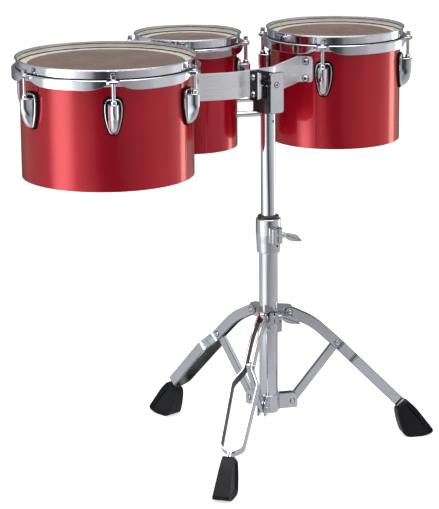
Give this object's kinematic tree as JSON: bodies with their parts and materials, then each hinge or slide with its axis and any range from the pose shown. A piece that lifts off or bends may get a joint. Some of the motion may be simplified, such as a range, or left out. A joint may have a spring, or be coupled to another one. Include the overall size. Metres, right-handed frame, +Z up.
{
  "type": "marching tom set on a folding stand",
  "caption": "Marching toms with chrome rims and red shells, joined by a clamp bracket on a height-adjustable folding tripod stand.",
  "frame": {"origin": "bottom centre of the bounding box, on the floor under the set", "axes": "+X along the drum row from the large drum to the right drum, +Y away from the player, +Z up"},
  "size_m": [0.695, 0.448, 0.6185],
  "materials": {
    "red_wrap": "glossy red wrap on a wooden shell",
    "head_film": "satin, coated film",
    "chrome": "mirror-polished",
    "satin_chrome": "satin-plated casting",
    "aluminium": "brushed flat bar",
    "rubber": "matt black, moulded",
    "black_steel": "black oxide"
  },
  "bodies": {
    "base": {"lower_tube": "chrome", "height_clamp": "satin_chrome", "memory_lock": "satin_chrome", "strut_collar": "satin_chrome"},
    "column_top": {"upper_tube": "chrome"},
    "drum_carrier": {"receiver": "satin_chrome", "left_arm": "aluminium", "right_arm": "aluminium", "link_left": "chrome", "link_right": "chrome", "left_shell": "red_wrap", "left_head": "head_film", "left_hoop": "chrome", "left_lug_1": "chrome", "left_rod_1": "chrome", "left_lug_2": "chrome", "left_rod_2": "chrome", "left_lug_3": "chrome", "left_rod_3": "chrome", "left_lug_4": "chrome", "left_rod_4": "chrome", "left_lug_5": "chrome", "left_rod_5": "chrome", "left_lug_6": "chrome", "left_rod_6": "chrome", "right_shell": "red_wrap", "right_head": "head_film", "right_hoop": "chrome", "right_lug_1": "chrome", "right_rod_1": "chrome", "right_lug_2": "chrome", "right_rod_2": "chrome", "right_lug_3": "chrome", "right_rod_3": "chrome", "right_lug_4": "chrome", "right_rod_4": "chrome", "rear_shell": "red_wrap", "rear_head": "head_film", "rear_hoop": "chrome", "rear_lug_1": "chrome", "rear_rod_1": "chrome", "rear_lug_2": "chrome", "rear_rod_2": "chrome", "rear_lug_3": "chrome", "rear_rod_3": "chrome", "rear_lug_4": "chrome", "rear_rod_4": "chrome"},
    "height_wing": {"height_wing_bolt": "satin_chrome"},
    "receiver_wing": {"receiver_wing_screw": "black_steel"},
    "leg_slider": {"leg_collar": "satin_chrome"},
    "collar_wing": {"collar_wing_bolt": "satin_chrome"},
    "front_leg_body": {"front_leg": "chrome", "front_foot": "rubber"},
    "front_strut_body": {"front_strut": "chrome"},
    "right_leg_body": {"right_leg": "chrome", "right_foot": "rubber"},
    "right_strut_body": {"right_strut": "chrome"},
    "rear_leg_body": {"rear_leg": "chrome", "rear_foot": "rubber"},
    "rear_strut_body": {"rear_strut": "chrome"}
  },
  "joints": [
    {"name": "height_slide", "type": "slide", "parent": "base", "child": "column_top", "axis": [0, 0, 1], "range_m": [-0.07, 0.16]},
    {"name": "drum_swivel", "type": "hinge", "parent": "column_top", "child": "drum_carrier", "pos_m": [0.01902, -0.0614, 0.55], "axis": [0, 0, 1], "continuous": true},
    {"name": "height_wing_turn", "type": "hinge", "parent": "base", "child": "height_wing", "pos_m": [0.01603, -0.08471, 0.3385], "axis": [0.9919, -0.1271, 0], "continuous": true},
    {"name": "receiver_wing_turn", "type": "hinge", "parent": "drum_carrier", "child": "receiver_wing", "pos_m": [0.00412, -0.0724, 0.56], "axis": [0, 0, 1], "range_deg": [-55, 0]},
    {"name": "leg_collar_slide", "type": "slide", "parent": "base", "child": "leg_slider", "axis": [0, 0, 1], "range_m": [0, 0.058]},
    {"name": "collar_wing_turn", "type": "hinge", "parent": "leg_slider", "child": "collar_wing", "pos_m": [0.01088, -0.08376, 0.2122], "axis": [0.9397, -0.342, 0], "continuous": true},
    {"name": "front_leg_fold", "type": "hinge", "parent": "leg_slider", "child": "front_leg_body", "pos_m": [-0.00684, -0.08025, 0.214], "axis": [0.5892, -0.808, 0], "range_deg": [0, 39.6]},
    {"name": "front_strut_fold", "type": "hinge", "parent": "base", "child": "front_strut_body", "pos_m": [-0.01007, -0.08261, 0.073], "axis": [-0.5892, 0.808, 0], "range_deg": [0, 29.5]},
    {"name": "right_leg_fold", "type": "hinge", "parent": "leg_slider", "child": "right_leg_body", "pos_m": [0.04827, -0.07436, 0.214], "axis": [0.4051, 0.9143, 0], "range_deg": [0, 39.6]},
    {"name": "right_strut_fold", "type": "hinge", "parent": "base", "child": "right_strut_body", "pos_m": [0.05193, -0.07599, 0.073], "axis": [-0.4051, -0.9143, 0], "range_deg": [0, 29.5]},
    {"name": "rear_leg_fold", "type": "hinge", "parent": "leg_slider", "child": "rear_leg_body", "pos_m": [0.01562, -0.02958, 0.214], "axis": [-0.9943, -0.1063, 0], "range_deg": [0, 39.6]},
    {"name": "rear_strut_fold", "type": "hinge", "parent": "base", "child": "rear_strut_body", "pos_m": [0.01519, -0.0256, 0.073], "axis": [0.9943, 0.1063, 0], "range_deg": [0, 29.5]}
  ],
  "couplings": [
    {"joint": "front_leg_fold", "follows": "leg_collar_slide", "rad_per_m": 11.9},
    {"joint": "front_strut_fold", "follows": "leg_collar_slide", "rad_per_m": 8.84},
    {"joint": "right_leg_fold", "follows": "leg_collar_slide", "rad_per_m": 11.9},
    {"joint": "right_strut_fold", "follows": "leg_collar_slide", "rad_per_m": 8.84},
    {"joint": "rear_leg_fold", "follows": "leg_collar_slide", "rad_per_m": 11.9},
    {"joint": "rear_strut_fold", "follows": "leg_collar_slide", "rad_per_m": 8.84}
  ]
}
